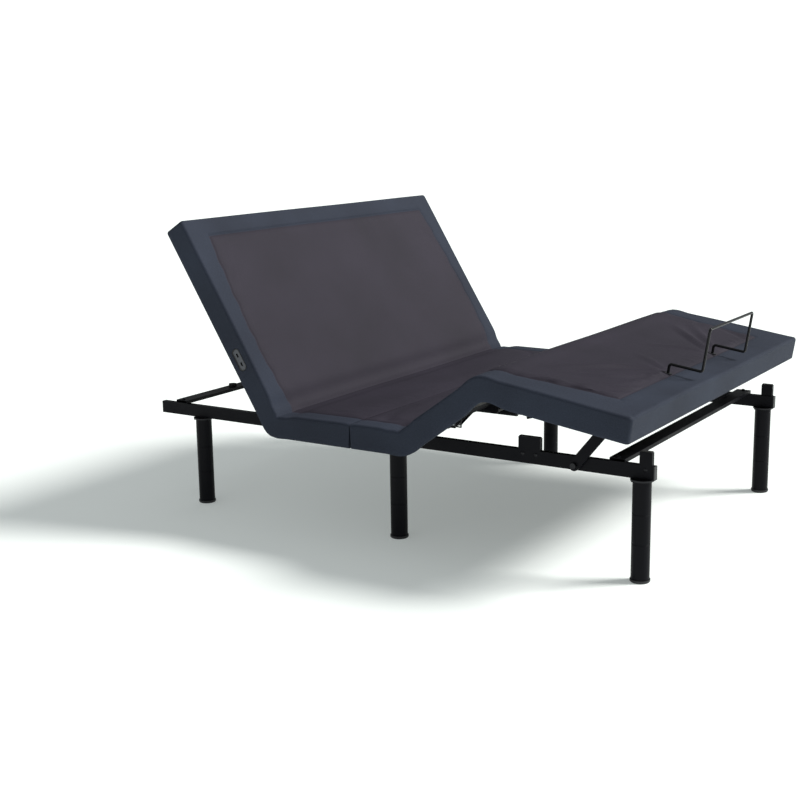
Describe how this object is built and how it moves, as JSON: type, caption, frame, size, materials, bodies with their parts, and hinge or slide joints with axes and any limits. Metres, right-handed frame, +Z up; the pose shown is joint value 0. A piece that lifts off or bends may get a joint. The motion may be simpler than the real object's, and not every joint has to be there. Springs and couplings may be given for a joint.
{
  "type": "adjustable bed base",
  "caption": "Upholstered adjustable bed base on round legs: lifting head panel, thigh and foot panels with knee hinge, lift arms and rams, mattress retainer bar.",
  "frame": {"origin": "centre of the footprint on the floor, under the middle of the bounding box in the stored pose", "axes": "+X along the bed towards the foot, +Y across the bed, +Z up from the floor"},
  "size_m": [1.9278, 1.524, 1.0329],
  "materials": {
    "frame_paint": "black powder coat, low sheen",
    "leg_paint": "black powder coat, low sheen",
    "panel_fabric": "woven dark grey-purple fabric",
    "birch_ply": "unfinished plywood",
    "zinc": "zinc plated",
    "bolt_black": "black oxide",
    "black_rubber": "matte",
    "black_plastic": "textured",
    "retainer_wire": "gloss black",
    "roller_nylon": "natural nylon",
    "ram_steel": "polished",
    "lead_rubber": "matte cable jacket"
  },
  "bodies": {
    "base": {"near_rail": "frame_paint", "far_rail": "frame_paint", "rail_end_caps": "black_plastic", "head_cross_bar": "frame_paint", "foot_cross_bar": "frame_paint", "motor_cross_tube": "frame_paint", "rest_posts": "frame_paint", "rest_pads": "black_rubber", "frame_bolts": "bolt_black", "head_leg_near": "leg_paint", "head_leg_far": "leg_paint", "middle_leg_near": "leg_paint", "middle_leg_far": "leg_paint", "foot_leg_near": "leg_paint", "foot_leg_far": "leg_paint", "leg_studs": "bolt_black", "leg_glides": "black_plastic", "seat_frame": "frame_paint", "seat_board": "birch_ply", "seat_pad_head_side": "panel_fabric", "seat_pad_foot_side": "panel_fabric", "seat_hinge_pins": "zinc", "arm_pivot_bolts": "bolt_black", "head_lift_bearings": "frame_paint", "foot_lift_bearings": "frame_paint", "head_motor": "black_plastic", "head_ram_tube": "frame_paint", "foot_motor": "black_plastic", "foot_ram_tube": "frame_paint", "clevis_pins": "zinc", "control_box": "black_plastic", "power_supply": "black_plastic", "motor_leads": "lead_rubber"},
    "head_panel": {"head_frame": "frame_paint", "head_board": "birch_ply", "head_pad": "panel_fabric", "usb_port": "black_plastic"},
    "thigh_panel": {"thigh_frame": "frame_paint", "thigh_board": "birch_ply", "thigh_pad": "panel_fabric", "knee_hinge_pins": "zinc"},
    "foot_panel": {"foot_frame": "frame_paint", "foot_board": "birch_ply", "foot_pad": "panel_fabric", "retainer_bar": "retainer_wire", "retainer_sockets": "black_plastic", "arm_top_bolts": "bolt_black"},
    "foot_arm_near": {"foot_arm_near": "frame_paint"},
    "foot_arm_far": {"foot_arm_far": "frame_paint"},
    "head_lift": {"head_lift_tube": "frame_paint", "head_roller_axles": "zinc"},
    "head_roller_near": {"head_roller_near": "roller_nylon"},
    "head_roller_far": {"head_roller_far": "roller_nylon"},
    "foot_lift": {"foot_lift_tube": "frame_paint", "foot_roller_axles": "zinc"},
    "foot_roller_near": {"foot_roller_near": "roller_nylon"},
    "foot_roller_far": {"foot_roller_far": "roller_nylon"},
    "head_rod": {"head_ram_rod": "ram_steel"},
    "foot_rod": {"foot_ram_rod": "ram_steel"}
  },
  "joints": [
    {"name": "head_panel_lift", "type": "hinge", "parent": "base", "child": "head_panel", "pos_m": [-0.29289, 0, 0.388], "axis": [0, 1, 0], "range_deg": [-58.5, 0]},
    {"name": "thigh_panel_lift", "type": "hinge", "parent": "base", "child": "thigh_panel", "pos_m": [0.19611, 0, 0.388], "axis": [0, -1, 0], "range_deg": [-36, 0]},
    {"name": "knee", "type": "hinge", "parent": "thigh_panel", "child": "foot_panel", "pos_m": [0.46551, 0, 0.58373], "axis": [0, -1, 0], "range_deg": [0, 45.49]},
    {"name": "foot_arm_near_pivot", "type": "hinge", "parent": "base", "child": "foot_arm_near", "pos_m": [0.68911, -0.576, 0.331], "axis": [0, -1, 0], "range_deg": [-48.62, 0]},
    {"name": "foot_arm_far_pivot", "type": "hinge", "parent": "base", "child": "foot_arm_far", "pos_m": [0.68911, 0.576, 0.331], "axis": [0, -1, 0], "range_deg": [-48.62, 0]},
    {"name": "head_lift_turn", "type": "hinge", "parent": "base", "child": "head_lift", "pos_m": [-0.32289, 0, 0.362], "axis": [0, 1, 0], "range_deg": [-62.23, 0]},
    {"name": "head_roller_near_spin", "type": "hinge", "parent": "head_lift", "child": "head_roller_near", "pos_m": [-0.46957, -0.2, 0.62369], "axis": [0, 1, 0], "range_deg": [0, 121.78]},
    {"name": "head_roller_far_spin", "type": "hinge", "parent": "head_lift", "child": "head_roller_far", "pos_m": [-0.46957, 0.2, 0.62369], "axis": [0, 1, 0], "range_deg": [0, 121.78]},
    {"name": "foot_lift_turn", "type": "hinge", "parent": "base", "child": "foot_lift", "pos_m": [0.16211, 0, 0.355], "axis": [0, -1, 0], "range_deg": [-31.85, 0]},
    {"name": "foot_roller_near_spin", "type": "hinge", "parent": "foot_lift", "child": "foot_roller_near", "pos_m": [0.42909, -0.08, 0.52328], "axis": [0, -1, 0], "range_deg": [0, 39.09]},
    {"name": "foot_roller_far_spin", "type": "hinge", "parent": "foot_lift", "child": "foot_roller_far", "pos_m": [0.42909, 0.08, 0.52328], "axis": [0, -1, 0], "range_deg": [0, 39.09]},
    {"name": "head_ram_slide", "type": "slide", "parent": "base", "child": "head_rod", "axis": [-1, 0, 0], "range_m": [-0.10117, 0]},
    {"name": "foot_ram_slide", "type": "slide", "parent": "base", "child": "foot_rod", "axis": [1, 0, 0], "range_m": [-0.035, 0]}
  ],
  "couplings": [
    {"joint": "knee", "follows": "thigh_panel_lift", "ratio": -1.2389},
    {"joint": "foot_arm_near_pivot", "follows": "thigh_panel_lift", "ratio": 1.324},
    {"joint": "foot_arm_far_pivot", "follows": "thigh_panel_lift", "ratio": 1.324},
    {"joint": "head_lift_turn", "follows": "head_panel_lift", "ratio": 1.043},
    {"joint": "head_roller_near_spin", "follows": "head_panel_lift", "ratio": -2.0408},
    {"joint": "head_roller_far_spin", "follows": "head_panel_lift", "ratio": -2.0408},
    {"joint": "foot_lift_turn", "follows": "thigh_panel_lift", "ratio": 0.86735},
    {"joint": "foot_roller_near_spin", "follows": "thigh_panel_lift", "ratio": -1.0646},
    {"joint": "foot_roller_far_spin", "follows": "thigh_panel_lift", "ratio": -1.0646},
    {"joint": "head_ram_slide", "follows": "head_panel_lift", "m_per_rad": 0.098105},
    {"joint": "foot_ram_slide", "follows": "thigh_panel_lift", "m_per_rad": 0.055148}
  ]
}
